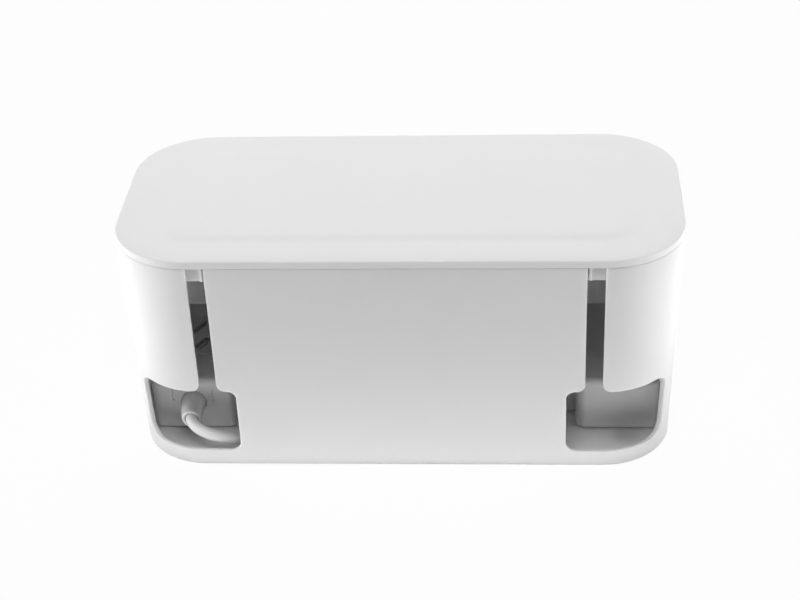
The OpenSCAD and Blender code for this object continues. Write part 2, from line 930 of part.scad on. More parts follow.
// Tube along a route
module tube(route, radius) {
  line = line_of(route);
  count = len(line);
  points = [for (i = [0 : count - 1]) each ring(line, i, radius)];
  walls = [
    for (i = [0 : count - 2])
      for (k = [0 : tube_sides - 1])
        let (
          a = i * tube_sides + k,
          b = i * tube_sides + (k + 1) % tube_sides
        )
        each [[a, a + tube_sides, b], [b, a + tube_sides, b + tube_sides]]
  ];
  start = [for (k = [1 : tube_sides - 2]) [0, k, k + 1]];
  last = (count - 1) * tube_sides;
  end = [for (k = [1 : tube_sides - 2]) [last, last + k + 1, last + k]];
  polyhedron(points, concat(walls, start, end));
}

module lead_tube() {
  color("white")
    tube(lead_route, lead_diameter / 2);
}

module tail_tube() {
  color("white")
    tube(tail_route, lead_diameter / 2);
}

module lead_coil() {
  color("white")
    translate([coil_center[0], coil_center[1], coil_z])
      rotate_extrude()
        translate([coil_diameter / 2 - coil_wide, 0])
          edge_profile(2 * coil_wide, 0, coil_high, 2, 2);
}

module coil_tie() {
  inner = [2 * (coil_wide + tie_clearance), coil_high + 0.6];
  color("gainsboro")
    translate([coil_center[0], coil_center[1], coil_z + coil_high / 2])
      rotate([90, 0, tie_angle])
        translate([coil_diameter / 2, 0, -tie_width / 2])
          linear_extrude(tie_width)
            difference() {
              square([inner[0] + 2 * tie_thickness, inner[1] + 2 * tie_thickness], center = true);
              square(inner, center = true);
            }
}

module plug_body() {
  length = plug_size[0];
  color("white")
    translate([plug_x, plug_y, plug_z]) {
      hull() {
        translate([-plug_relief[0] - length, 0, 0])
          rotate([0, 90, 0])
            round_plate([plug_size[2], plug_size[1]], length * 0.62, plug_round, $fn = 32);
        translate([-plug_relief[0] - 2, 0, 0])
          rotate([0, 90, 0])
            round_plate(
              [plug_size[2] * plug_waist[0], plug_size[1] * plug_waist[1]], 2, plug_round, $fn = 32
            );
      }
      rotate([0, -90, 0])
        cylinder(h = plug_relief[0], r1 = plug_relief[1] / 2, r2 = plug_relief[2]);
    }
}

module plug_pins() {
  face = plug_x - plug_relief[0] - plug_size[0];
  color("silver")
    translate([face, plug_y, plug_z]) {
      for (side = [-1, 1])
        translate([
          -blade_size[0], (side * contact_spacing - blade_size[2]) / 2, -blade_size[1] / 2 - blade_drop
        ])
          cube([blade_size[0], blade_size[2], blade_size[1]]);
      translate([0, 0, earth_rise])
        rotate([0, -90, 0])
          cylinder(h = earth_pin[0], d = earth_pin[1]);
    }
}

tub();
lid();
foot(-1, -1);  // foot_front_left
foot(1, -1);  // foot_front_right
foot(-1, 1);  // foot_back_left
foot(1, 1);  // foot_back_right
strip_base();
strip_cover();
strip_screws();
strip_pads();
outlet_insert(1);  // outlet_insert_1
outlet_insert(2);  // outlet_insert_2
outlet_insert(3);  // outlet_insert_3
outlet_insert(4);  // outlet_insert_4
port_insert();
charging_board();
live_bus();
neutral_bus();
earth_bus();
switch_housing();
switch_rocker();
cord_boot();
lead_tube();
tail_tube();
lead_coil();
coil_tie();
plug_body();
plug_pins();
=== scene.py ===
import json
import math

import bpy
import bmesh
from mathutils import Matrix, Vector
from mathutils.geometry import delaunay_2d_cdt


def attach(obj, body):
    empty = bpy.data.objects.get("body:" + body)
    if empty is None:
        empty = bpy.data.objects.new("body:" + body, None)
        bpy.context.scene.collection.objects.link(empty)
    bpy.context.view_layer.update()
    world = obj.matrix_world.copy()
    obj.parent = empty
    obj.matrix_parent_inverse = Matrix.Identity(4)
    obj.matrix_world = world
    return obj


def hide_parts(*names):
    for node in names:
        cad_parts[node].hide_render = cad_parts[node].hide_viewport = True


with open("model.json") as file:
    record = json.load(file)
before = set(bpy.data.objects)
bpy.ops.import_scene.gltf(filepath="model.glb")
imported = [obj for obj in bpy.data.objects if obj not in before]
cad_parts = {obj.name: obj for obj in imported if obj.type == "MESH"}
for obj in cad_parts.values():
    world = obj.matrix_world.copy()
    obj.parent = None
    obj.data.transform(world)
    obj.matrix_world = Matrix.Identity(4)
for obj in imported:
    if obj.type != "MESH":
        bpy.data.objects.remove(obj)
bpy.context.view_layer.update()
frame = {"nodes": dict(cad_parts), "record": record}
MM = 0.001

# Sizes of the construction, in millimetres
AXIS_X, AXIS_Y = 115.0, 30.0
CORNER_R, DRAFT, WALL = 45.0, 4.6, 2.5
TUB_Z, RIM_Z, FLOOR_Z = 1.0, 136.8, 3.5
LEAN = DRAFT / (RIM_Z - TUB_Z)
SLOT_LOW_X, SLOT_HIGH_X = 104.5, 114.5
OPEN_X, OPEN_LOW, OPEN_HIGH, WRAP_Y = 94.0, 11.0, 53.5, -51.5
FOOT_X, FOOT_Y = 129.0, 44.0

scene = bpy.context.scene
scene.view_settings.view_transform = "Standard"


def add_object(name, data):
    obj = bpy.data.objects.new(name, data)
    scene.collection.objects.link(obj)
    return obj


# ---------- camera, fitted to the photo's outline ----------

SENSOR_WIDTH, LENS = 36.0, 81.8577
CLIP_NEAR, CLIP_FAR = 0.05, 20.0
CAMERA_AT = (69.2615, -914.9308, 644.4169)
CAMERA_RIGHT = (0.99775418, 0.05569051, -0.03721777)
CAMERA_DOWN = (-0.00190263, -0.53185013, -0.84683636)
CAMERA_AHEAD = (-0.06695502, 0.84500533, -0.53054973)


def make_camera():
    data = bpy.data.cameras.new("camera")
    data.sensor_width = SENSOR_WIDTH
    data.lens = LENS
    data.clip_start, data.clip_end = CLIP_NEAR, CLIP_FAR
    cam = add_object("camera", data)
    right, down, ahead = (Vector(v) for v in (CAMERA_RIGHT, CAMERA_DOWN, CAMERA_AHEAD))
    m = Matrix((right, -down, -ahead)).transposed().to_4x4()
    m.translation = Vector(CAMERA_AT) * MM
    cam.matrix_world = m
    scene.camera = cam


make_camera()


# ---------- mains lead ----------

LEAD_R = 3.5
LEAD_SIDES_PER_QUARTER, LEAD_PARTS = 8, 4
COIL_X, COIL_Y, COIL_Z = 44.0, 5.5, 38.4
COIL_R, COIL_START, COIL_TURNS, COIL_STEP = 41.5, -90.0, 4.5, 9.0
# Where the lead changes its column and its layer in the coil, in degrees turned
TO_INNER, TO_OUTER = (310, 360), (930, 980)
TO_SECOND, TO_THIRD = (620, 670), (1265, 1290)

# Route points in millimetres, from inside the boot along the floor and up to the coil
LEAD_ROUTE = [
    (-126, -46, 21.9), (-125.7, -51, 21.3), (-123.8, -56, 20.2), (-119.6, -60, 18.7),
    (-113.5, -62, 16.6), (-107, -61.8, 14.3), (-100.5, -60, 11.6), (-94, -57.5, 9.4),
    (-84, -54.8, 8), (-70, -53, 7.3), (-54, -52, 7.5), (-38, -51, 10.2),
    (-22, -48.5, 17), (-6, -44.8, 27.5), (10, -41.4, 37), (24, -39.8, 41.8), (34, -39.6, 41.9)]
# From the coil down to the plug
TAIL_ROUTE = [
    (25, 50.3, 56.5), (12, 48, 55.6), (0, 41, 54), (-10, 31, 52),
    (-20, 21.5, 50), (-30, 16.2, 48.8), (-38, 15, 48.4)]


def soft_step(x, low, high):
    t = max(0.0, min(1.0, (x - low) / (high - low)))
    return t * t * (3 - 2 * t)


def coil_place(turned):
    """Radius and height of the lead's line in the coil, by the degrees that it has turned.
    The turns lie in two columns and three layers, and pass from one to the next in short
    stretches."""
    near, far = COIL_R - LEAD_R, COIL_R + LEAD_R
    inward = soft_step(turned, *TO_INNER) - soft_step(turned, *TO_OUTER)
    layer = soft_step(turned, *TO_SECOND) + soft_step(turned, *TO_THIRD)
    return far + (near - far) * inward, COIL_Z + LEAD_R * (1 + 2 * layer)


def coil_line():
    points = []
    for k in range(int(COIL_TURNS * 360 / COIL_STEP) + 1):
        r, z = coil_place(k * COIL_STEP)
        t = math.radians(COIL_START + k * COIL_STEP)
        points.append((COIL_X + r * math.cos(t), COIL_Y + r * math.sin(t), z))
    return points


def spline(points, parts):
    """Points on a smooth line through the given ones, by the formula of the solids' tubes."""
    out = []
    for i in range(len(points) - 1):
        a, b, c, d = (Vector(points[max(0, min(len(points) - 1, i + k))]) for k in (-1, 0, 1, 2))
        for k in range(parts):
            t = k / parts
            out.append(0.5 * (2 * b + (c - a) * t + (2 * a - 5 * b + 4 * c - d) * t * t
                              + (3 * b - a - 3 * c + d) * t ** 3))
    return out + [Vector(points[-1])]


def make_lead():
    """One curve from the boot to the plug, as thick as its points' radius says."""
    curve = bpy.data.curves.new("mains_lead", "CURVE")
    curve.dimensions = "3D"
    curve.bevel_depth = 1.0
    curve.bevel_resolution = LEAD_SIDES_PER_QUARTER - 1
    curve.use_fill_caps = True
    line = spline(LEAD_ROUTE + coil_line() + TAIL_ROUTE, LEAD_PARTS)
    track = curve.splines.new("POLY")
    track.points.add(len(line) - 1)
    for point, p in zip(track.points, line):
        point.co = (*(p * MM), 1)
        point.radius = LEAD_R * MM
    track.use_smooth = True
    return add_object("mains_lead", curve)


lead = make_lead()


# ---------- mesh helpers ----------

# Two points weld where their millimetres are the same to so many places
WELD_PLACES = 4
NO_AREA = 1e-9
FLAT_NEAR, WALL_NEAR = 1e-5, 1e-6


class Shell:
    """Collects welded points with their normals, and faces turned to those normals."""

    def __init__(self):
        self.points, self.normals, self.faces, self.known = [], [], [], {}

    def add(self, p, n):
        key = tuple(round(c, WELD_PLACES) for c in p)
        if key not in self.known:
            self.known[key] = len(self.points)
            self.points.append(Vector(p))
            self.normals.append(Vector(n).normalized())
        return self.known[key]

    def face(self, *ids):
        ids = [i for k, i in enumerate(ids) if i != ids[k - 1]]
        if len(set(ids)) < 3:
            return
        a, b, c = (self.points[i] for i in (ids[0], ids[1], ids[-1]))
        g = (b - a).cross(c - a)
        if len(ids) > 3 and g.length < NO_AREA:
            g = (self.points[ids[2]] - a).cross(c - a)
        want = sum((self.normals[i] for i in ids), Vector())
        self.faces.append(tuple(ids) if g.dot(want) > 0 else tuple(reversed(ids)))

    def bridge(self, one, two, closed=True):
        n = len(one)
        for k in range(n if closed else n - 1):
            m = (k + 1) % n
            self.face(one[k], one[m], two[m], two[k])

    def skin(self, rings, closed=True):
        """Joins each ring of point numbers with the next one."""
        for one, two in zip(rings, rings[1:]):
            self.bridge(one, two, closed)

    def fill(self, ids, flat, edges, border, rings, near):
        """Fills the border with faces on the flat points, and leaves the rings in it open."""
        out, _, faces, came, _, _ = delaunay_2d_cdt(flat, edges, [], 0, near)
        for f in faces:
            mid = sum((out[i] for i in f), Vector((0, 0))) / len(f)
            if inside(mid, border) and not any(inside(mid, r) for r in rings):
                self.face(*[ids[came[i][0]] for i in f])

    def plane(self, outline, holes=()):
        """Fills a level outline with holes in it; all are lists of point numbers."""
        loops = [outline, *holes]
        ids = [i for loop in loops for i in loop]
        edges, start = [], 0
        for loop in loops:
            n = len(loop)
            edges += [(start + k, start + (k + 1) % n) for k in range(n)]
            start += n
        border, *rings = ([self.points[i].to_2d() for i in loop] for loop in loops)
        self.fill(ids, [self.points[i].to_2d() for i in ids], edges, border, rings, FLAT_NEAR)

    def object(self, name):
        mesh = bpy.data.meshes.new(name)
        mesh.from_pydata([p * MM for p in self.points], [], self.faces)
        mesh.polygons.foreach_set("use_smooth", [True] * len(mesh.polygons))
        mesh.update()
        mesh.normals_split_custom_set_from_vertices(self.normals)
        return add_object(name, mesh)


def inside(p, loop):
    hit = False
    for k, a in enumerate(loop):
        b = loop[k - 1]
        if (a.y > p.y) != (b.y > p.y):
            if p.x < (b.x - a.x) * (p.y - a.y) / (b.y - a.y) + a.x:
                hit = not hit
    return hit


# The way round a rounded rectangle: straight lengths and quarter arcs, as places u
FRONT, ARC, SIDE = AXIS_X, CORNER_R * math.pi / 2, 2 * AXIS_Y
MARKS = [FRONT, FRONT + ARC, FRONT + ARC + SIDE, FRONT + 2 * ARC + SIDE,
         2 * FRONT + 2 * ARC + SIDE]
U_END = MARKS[-1]
ARC_PARTS, FLAT_STEP = 24, 30


def place(u, axis_x=AXIS_X, axis_y=AXIS_Y):
    """Point on the line of the corners' axes and outward direction at u; 0 is the front's
    middle, positive to the right."""
    sign, v = (1, u) if u >= 0 else (-1, -u)
    if v <= MARKS[0]:
        a, n = (v / FRONT * axis_x, -axis_y), (0.0, -1.0)
    elif v <= MARKS[1]:
        t = (v - MARKS[0]) / CORNER_R
        a, n = (axis_x, -axis_y), (math.sin(t), -math.cos(t))
    elif v <= MARKS[2]:
        t = (v - MARKS[1]) / SIDE
        a, n = (axis_x, (2 * t - 1) * axis_y), (1.0, 0.0)
    elif v <= MARKS[3]:
        t = (v - MARKS[2]) / CORNER_R
        a, n = (axis_x, axis_y), (math.cos(t), math.sin(t))
    else:
        t = (v - MARKS[3]) / FRONT
        a, n = ((1 - t) * axis_x, axis_y), (0.0, 1.0)
    return Vector((sign * a[0], a[1])), Vector((sign * n[0], n[1]))


def at(u, r, z, axis_x=AXIS_X, axis_y=AXIS_Y):
    a, n = place(u, axis_x, axis_y)
    p = a + n * r
    return (p.x, p.y, z)


def lean_normal(u, out, up):
    _, n = place(u)
    return (n.x * out, n.y * out, up)


def steps(a, b, most):
    """Even steps from a to b, none longer than most, without b itself."""
    n = max(1, math.ceil(abs(b - a) / most - 1e-9))
    return [a + (b - a) * k / n for k in range(n)]


def round_us():
    half = []
    for k, (low, high) in enumerate(zip([0] + MARKS, MARKS)):
        half += steps(low, high, ARC / ARC_PARTS if k % 2 else FLAT_STEP)
    return half + [U_END] + [-u for u in reversed(half[1:])]


ROUND = round_us()


def sweep(shell, profile, axis=(AXIS_X, AXIS_Y)):
    """Rings of a profile of (reach, height, normal out, normal up), one per profile point."""
    rings = []
    for r, z, out, up in profile:
        rings.append([shell.add(at(u, r, z, *axis), lean_normal(u, out, up)) for u in ROUND])
    shell.skin(rings)
    return rings


def arc(cx, cz, r, start, end, n, flip=1):
    """Profile points on an arc, in degrees; flip -1 turns the normals to the arc's centre."""
    out = []
    for k in range(n + 1):
        t = math.radians(start + (end - start) * k / n)
        c, s = math.cos(t), math.sin(t)
        out.append((cx + r * c, cz + r * s, flip * c, flip * s))
    return out


# ---------- tub ----------

EDGE, EDGE_PARTS = 0.45, 3
BASE_ROUND, FLOOR_ROUND, ROUND_PARTS = 0.8, 3, 6
COS, SIN = math.cos(math.atan(LEAN)), math.sin(math.atan(LEAN))
# Radii where the slot meets the opening, at the opening's upper and lower corner in front,
# and at its lower and upper corner on the end
SLOT_R, OPEN_HIGH_R, OPEN_LOW_R, WRAP_LOW_R, WRAP_HIGH_R = 5, 5, 6, 10, 9
# Longest steps of the mesh: along the rim, up an edge in front and on the end, up the seam
# behind, and up the wall; as shares of the way, round the opening's lower and upper edge
RIM_STEP, FRONT_STEP, WRAP_STEP, SEAM_STEP, WALL_STEP = 20, 8, 5, 14, 11
LOW_SHARE, HIGH_SHARE = 0.05, 0.06
# Distances that points on the rim keep from the slot, and points in the wall from its edges
SLOT_CLEAR, INNER_CLEAR = 1.5, 1.6
# Two points are one under this square of their distance; corners are drawn out by a limit
ONE_POINT, LEAST_TURN = 1e-6, 0.35
# Recess of a foot: (radius, height over the underside, normal out, normal up)
FOOT_RECESS = [(7.5, 0, 0, -1), (7.29, 0.09, -0.7, -0.7), (7.2, 0.3, -1, 0), (7.2, 1.1, -1, 0),
               (7.1, 1.2, 0, -1)]
FOOT_SIDES = 48


def wall_r(z, inset=0.0):
    return CORNER_R - DRAFT + (z - TUB_Z) * LEAN - inset


def u_of_x(x, r):
    return x if x <= AXIS_X else AXIS_X + CORNER_R * math.asin(min(1, (x - AXIS_X) / r))


def u_of_y(y, r):
    return AXIS_X + CORNER_R * math.acos(max(-1, min(1, (-AXIS_Y - y) / r)))


def bend(kind, cx, cz, r, start, end, n):
    """Points of the wall's upper edge round a corner of it, in degrees."""
    turns = [math.radians(start + (end - start) * k / n) for k in range(n + 1)]
    return [(kind, cx + r * math.cos(t), cz + r * math.sin(t)) for t in turns]


def top_line():
    """Right half of the wall's upper edge, from the front's middle to the back's, with the slot
    and the corner opening in it: (kind, place, height). Kind says what place measures, or is
    a share of the way from an x to a y."""
    slot, high, low = SLOT_R, OPEN_HIGH_R, OPEN_LOW_R
    wlow, whigh = WRAP_LOW_R, WRAP_HIGH_R
    pts = [("x", x, RIM_Z) for x in steps(0, SLOT_LOW_X, RIM_STEP)]
    pts += [("x", SLOT_LOW_X, z) for z in steps(RIM_Z, OPEN_HIGH + slot, FRONT_STEP)]
    pts += bend("x", SLOT_LOW_X - slot, OPEN_HIGH + slot, slot, 0, -90, 10)
    pts += bend("x", OPEN_X + high, OPEN_HIGH - high, high, 90, 180, 10)
    pts += [("x", OPEN_X, z) for z in steps(OPEN_HIGH - high, OPEN_LOW + low, FRONT_STEP)]
    pts += bend("x", OPEN_X + low, OPEN_LOW + low, low, 180, 270, 12)
    pts += [((t, OPEN_X + low, WRAP_Y - wlow), None, OPEN_LOW)
            for t in steps(0, 1, LOW_SHARE)[1:]]
    pts += bend("y", WRAP_Y - wlow, OPEN_LOW + wlow, wlow, -90, 0, 16)
    pts += [("y", WRAP_Y, z) for z in steps(OPEN_LOW + wlow, OPEN_HIGH - whigh, WRAP_STEP)[1:]]
    pts += bend("y", WRAP_Y - whigh, OPEN_HIGH - whigh, whigh, 0, 90, 14)
    pts += [((1 - t, SLOT_HIGH_X + slot, WRAP_Y - whigh), None, OPEN_HIGH)
            for t in steps(0, 1, HIGH_SHARE)[1:]]
    pts += bend("x", SLOT_HIGH_X + slot, OPEN_HIGH + slot, slot, -90, -180, 10)
    pts += [("x", SLOT_HIGH_X, z) for z in steps(OPEN_HIGH + slot, RIM_Z, FRONT_STEP)[1:]]
    pts += [("x", SLOT_HIGH_X, RIM_Z)]
    pts += [("u", u, RIM_Z) for u in ROUND if SLOT_HIGH_X + SLOT_CLEAR < u < U_END]
    return pts


def wall_loop(inset):
    """The whole upper edge on one face of the wall, as (u, z), with its way into the material."""
    half = []
    for kind, v, z in top_line():
        r = wall_r(z, inset)
        if v is None:
            t, x, y = kind
            u = (1 - t) * u_of_x(x, r) + t * u_of_y(y, r)
        elif kind == "u":
            u = v
        else:
            u = u_of_x(v, r) if kind == "x" else u_of_y(v, r)
        if not half or (u - half[-1][0]) ** 2 + (z - half[-1][1]) ** 2 > ONE_POINT:
            half.append((u, z))
    loop = [Vector(p) for p in half] + [Vector((U_END, RIM_Z))]
    loop = [Vector((-p.x, p.y)) for p in reversed(loop[1:])] + loop
    into = []
    for k, p in enumerate(loop):
        before = (p - loop[k - 1]).normalized() if k else Vector((1, 0))
        after = (loop[k + 1] - p).normalized() if k + 1 < len(loop) else Vector((1, 0))
        na, nb = Vector((before.y, -before.x)), Vector((after.y, -after.x))
        b = na + nb
        into.append(b / max(LEAST_TURN, b.dot(na)))
    return loop, into


def wall_face(shell, inset, side, low_z):
    """One face of the wall, side 1 for the outside, with the near half of the rounding of its
    upper edge; returns the rounding's last ring."""
    loop, into = wall_loop(inset)

    def face_normal(u):
        return lean_normal(u, side * COS, -side * SIN)

    def add_flat(u, z):
        flat.append(Vector((u, z)))
        ids.append(shell.add(at(u, wall_r(z, inset), z), face_normal(u)))

    rings = []
    for j in range(EDGE_PARTS + 1):
        t = math.radians(90 * j / EDGE_PARTS)
        ring = []
        for p, b in zip(loop, into):
            q = p + b * EDGE * (1 - math.sin(t))
            q.x = max(-U_END, min(U_END, q.x))
            r = wall_r(q.y, inset) - side * EDGE * (1 - math.cos(t))
            _, n = place(q.x)
            e = Vector((-n.y, n.x, 0)) * (-b.x)
            cut = Vector((e.x, e.y, -b.y)).normalized()
            normal = Vector(face_normal(q.x)) * math.cos(t) + cut * math.sin(t)
            ring.append(shell.add(at(q.x, r, q.y), normal))
        rings.append(ring)
    shell.skin(rings, closed=False)

    edge = [p + b * EDGE for p, b in zip(loop, into)]
    flat = [Vector((max(-U_END, min(U_END, p.x)), p.y)) for p in edge]
    ids = list(rings[0])
    bottom = sorted(set(ROUND) | {-U_END})
    seam = steps(RIM_Z - EDGE, low_z, SEAM_STEP)[1:]
    for z in seam:
        add_flat(U_END, z)
    for u in reversed(bottom):
        add_flat(u, low_z)
    for z in reversed(seam):
        add_flat(-U_END, z)
    outline, count = list(flat), len(flat)
    border = [(k, (k + 1) % count) for k in range(count)]
    for u in bottom[1:-1]:
        for z in steps(low_z, RIM_Z, WALL_STEP)[1:]:
            p = Vector((u, z))
            if inside(p, outline) and min((p - q).length for q in outline) > INNER_CLEAR:
                add_flat(u, z)
    shell.fill(ids, flat, border, outline, [], WALL_NEAR)
    return rings[-1]


def foot_recess(shell, x, y):
    """A round recess in the underside; returns its outer ring."""
    rings = []
    for r, height, out, up in FOOT_RECESS:
        ring = []
        for k in range(FOOT_SIDES):
            t = math.tau * k / FOOT_SIDES
            c, s = math.cos(t), math.sin(t)
            ring.append(shell.add((x + r * c, y + r * s, TUB_Z + height), (out * c, out * s, up)))
        rings.append(ring)
    shell.skin(rings)
    shell.plane(rings[-1])
    return rings[0]


def make_tub():
    shell = Shell()
    lean = math.degrees(math.atan(LEAN))
    out_r = wall_r(TUB_Z) + BASE_ROUND * (LEAN - 1 / COS)
    outer_edge = wall_face(shell, 0.0, 1, TUB_Z + BASE_ROUND * (1 - SIN))
    base = arc(out_r, TUB_Z + BASE_ROUND, BASE_ROUND, -lean, -90, ROUND_PARTS)
    under = sweep(shell, base)[-1]
    in_r = wall_r(FLOOR_Z, WALL) + FLOOR_ROUND * LEAN - FLOOR_ROUND / COS
    inner_edge = wall_face(shell, WALL, -1, FLOOR_Z + FLOOR_ROUND * (1 - SIN))
    inner = arc(in_r, FLOOR_Z + FLOOR_ROUND, FLOOR_ROUND, -lean, -90, ROUND_PARTS, -1)
    floor = sweep(shell, inner)[-1]
    shell.bridge(outer_edge, inner_edge, closed=False)
    shell.plane(floor)
    holes = [foot_recess(shell, sx * FOOT_X, sy * FOOT_Y) for sx in (-1, 1) for sy in (-1, 1)]
    shell.plane(under, holes)
    return shell.object("tub_shell")


# ---------- lid ----------

# The low edge is 0.15 lower than the solid's, so that the seam is as fine as in the photo
LID_LOW, LID_TOP, LID_PLATE, LIP_LOW = 136.95, 141.7, 2.6, 127.2
LID_EDGE, LID_SHOULDER = 0.25, 0.8
# Over its last stretch the top falls by this much
ROLL_LENGTH, ROLL_FALL = 9, 0.35
LIP_INSET, LIP_THICK, LIP_OUT_R, LIP_IN_R, LIP_FILLET = 3.225, 2.0, 0.6, 0.4, 1
PANEL_IN, PANEL_OUT, PANEL_RISE, PANEL_Y = 10.3, 21.3, 0.5, 34.5


def lid_profile():
    """The lid's section from the top over the shoulder and round the lip to the inside."""
    roll = ROLL_LENGTH * ROLL_LENGTH / (2 * ROLL_FALL)
    flat_r, small_x = CORNER_R - ROLL_LENGTH, CORNER_R - LID_SHOULDER
    small_z = LID_TOP - roll + math.sqrt((roll - LID_SHOULDER) ** 2 - (small_x - flat_r) ** 2)
    tilt = math.degrees(math.asin((small_x - flat_r) / (roll - LID_SHOULDER)))
    lip_r, roof = CORNER_R - LIP_INSET, LID_TOP - LID_PLATE
    top = arc(flat_r, LID_TOP - roll, roll, 90, 90 - tilt, 6)
    shoulder = arc(small_x, small_z, LID_SHOULDER, 90 - tilt, 0, 10)
    low = arc(CORNER_R - LID_EDGE, LID_LOW + LID_EDGE, LID_EDGE, 0, -90, 5)
    seam = arc(lip_r + LIP_IN_R, LID_LOW - LIP_IN_R, LIP_IN_R, 90, 180, 3, -1)
    lip = arc(lip_r - LIP_OUT_R, LIP_LOW + LIP_OUT_R, LIP_OUT_R, 0, -90, 5)
    back = arc(lip_r - LIP_THICK + LIP_IN_R, LIP_LOW + LIP_IN_R, LIP_IN_R, -90, -180, 4)
    fillet = arc(lip_r - LIP_THICK - LIP_FILLET, roof - LIP_FILLET, LIP_FILLET, 0, 90, 5, -1)
    return top + shoulder[1:] + low + seam + lip + back + fillet


def make_lid():
    shell = Shell()
    outer = sweep(shell, lid_profile())
    wide = PANEL_OUT - PANEL_IN
    r = (wide ** 2 + PANEL_RISE ** 2) / (4 * PANEL_RISE)
    half = math.degrees(math.asin(wide / 2 / r))
    step = arc(PANEL_IN, LID_TOP + PANEL_RISE - r, r, 90, 90 - half, 8)
    step += arc(PANEL_OUT, LID_TOP + r, r, 270 - half, 270, 8, -1)[1:]
    panel = sweep(shell, step, (AXIS_X, PANEL_Y))
    shell.bridge(panel[-1], outer[0])
    shell.plane(panel[0])
    shell.plane(outer[-1])
    return shell.object("lid_shell")


# ---------- lid's guide ribs, and rounded edges ----------

RIB_X, RIB_Y, RIB_Z = (105.4, 106.8), (-74.0, -70.8), (128.2, 137.1)
RIB_EDGE, SMALL_EDGE, SMALL_WELD = 0.3, 0.25, 0.002
BOX_FACES = [(0, 1, 3, 2), (4, 6, 7, 5), (0, 4, 5, 1), (2, 3, 7, 6), (0, 2, 6, 4), (1, 5, 7, 3)]


def make_guide_rib(name, side):
    xs = sorted(side * x for x in RIB_X)
    points = [(x, y, z) for x in xs for y in RIB_Y for z in RIB_Z]
    mesh = bpy.data.meshes.new(name)
    mesh.from_pydata([Vector(p) * MM for p in points], [], BOX_FACES)
    obj = add_object(name, mesh)
    round_edges(obj, RIB_EDGE)
    return obj


def round_edges(obj, width, weld=False):
    """Rounds the sharp edges of a piece, with its flat faces left flat."""
    if weld:
        obj.modifiers.new("weld", "WELD").merge_threshold = SMALL_WELD * MM
    bevel = obj.modifiers.new("edges", "BEVEL")
    bevel.width = width * MM
    bevel.segments = 3
    bevel.limit_method = "ANGLE"
    bevel.angle_limit = math.radians(40)
    bevel.harden_normals = True


# ---------- boot, tie and plug ----------

def ring_solid(name, rings, wraps=False, sharp=35):
    """Joins rings of points, in millimetres, into one closed mesh, smooth up to an angle."""
    count, last = len(rings[0]), len(rings) - 1
    faces = []
    for k in range(len(rings) if wraps else last):
        m = (k + 1) % len(rings)
        for i in range(count):
            j = (i + 1) % count
            faces.append((k * count + i, k * count + j, m * count + j, m * count + i))
    if not wraps:
        faces.append(tuple(range(count)))
        faces.append(tuple(range(last * count, (last + 1) * count)))
    mesh = bpy.data.meshes.new(name)
    mesh.from_pydata([Vector(p) * MM for ring in rings for p in ring], [], faces)
    work = bmesh.new()
    work.from_mesh(mesh)
    bmesh.ops.recalc_face_normals(work, faces=work.faces)
    work.to_mesh(mesh)
    work.free()
    mesh.shade_smooth()
    mesh.set_sharp_from_angle(angle=math.radians(sharp))
    return add_object(name, mesh)


BOOT_X, BOOT_FACE, BOOT_Z = -126.0, -38.0, 22.3
BOOT_REACH, BOOT_BEND, BOOT_SIDES = 16.0, (0.9, -1.3), 72
# (distance out from the strip's face, radius), from the inner flange over the mouth into the bore
BOOT_PROFILE = [
    (-5.0, 9.2), (-4.7, 9.5), (-2.8, 9.5), (-2.5, 9.4), (-2.5, 7.15), (0.0, 7.15), (4.0, 6.85),
    (9.0, 6.38), (13.5, 5.95), (15.1, 5.76), (15.6, 5.62), (15.9, 5.35), (16.0, 5.0),
    (15.95, 4.55), (15.7, 4.2), (15.2, 4.0), (8.4, 3.64), (8.1, 3.4)]


def make_boot():
    turns = [math.tau * k / BOOT_SIDES for k in range(BOOT_SIDES)]
    rings = []
    for out, r in BOOT_PROFILE:
        bent = (max(0.0, out) / BOOT_REACH) ** 2
        x, z = BOOT_X + BOOT_BEND[0] * bent, BOOT_Z + BOOT_BEND[1] * bent
        rings.append([(x + r * math.cos(t), BOOT_FACE - out, z + r * math.sin(t)) for t in turns])
    return ring_solid("strain_relief", rings)


TIE_ANGLE, TIE_WIDTH, TIE_THICK, TIE_PLAY = -66.0, 12.0, 1.1, 0.3
TIE_EDGE, TIE_STEP, TIE_CROSSES = 0.3, 3.75, 5
# The loose end: from and to which direction it lies on the band, its lift and its thickness
END_FROM, END_TO, END_LIFT, END_THICK = -40, 105, TIE_THICK + 0.05, 0.9


def make_tie_band(name, start, end, lift, thick):
    """A band round the coil's turns where the tie sits, between two directions in degrees."""
    turned = TIE_ANGLE - COIL_START
    turns = [coil_place(turned + 360 * k) for k in range(TIE_CROSSES)]
    w, e = TIE_WIDTH / 2, TIE_EDGE
    section = [(-w, e), (e - w, 0), (w - e, 0), (w, e), (w, thick - e), (w - e, thick),
               (e - w, thick), (-w, thick - e)]
    count = round((end - start) / TIE_STEP)
    rings = []
    for k in range(count + 1):
        a = math.radians(start + (end - start) * k / count)
        c, s = math.cos(a), math.sin(a)
        mid_r, mid_z = max(turns, key=lambda p: p[0] * c + p[1] * s)
        ring = []
        for along, up in section:
            reach = LEAD_R + TIE_PLAY + lift + up
            r, z = mid_r + reach * c, mid_z + reach * s
            t = math.radians(TIE_ANGLE) + along / COIL_R
            ring.append((COIL_X + r * math.cos(t), COIL_Y + r * math.sin(t), z))
        rings.append(ring)
    wraps = end - start >= 360
    return ring_solid(name, rings[:-1] if wraps else rings, wraps, 50)


PLUG_X, PLUG_Y, PLUG_Z = -38.0, 15.0, 48.4
LEAST_FLAT, PLUG_ARC_PARTS = 0.05, 10
# The ribbed relief: where it starts, its length, its radius and what that grows in 20 mm
RELIEF_FROM, RELIEF_LONG, RELIEF_R, RELIEF_GROWS = 0.4, 18.4, 4.3, 1.1
RIB_DEEP, RIB_PITCH = 0.45, 2.3
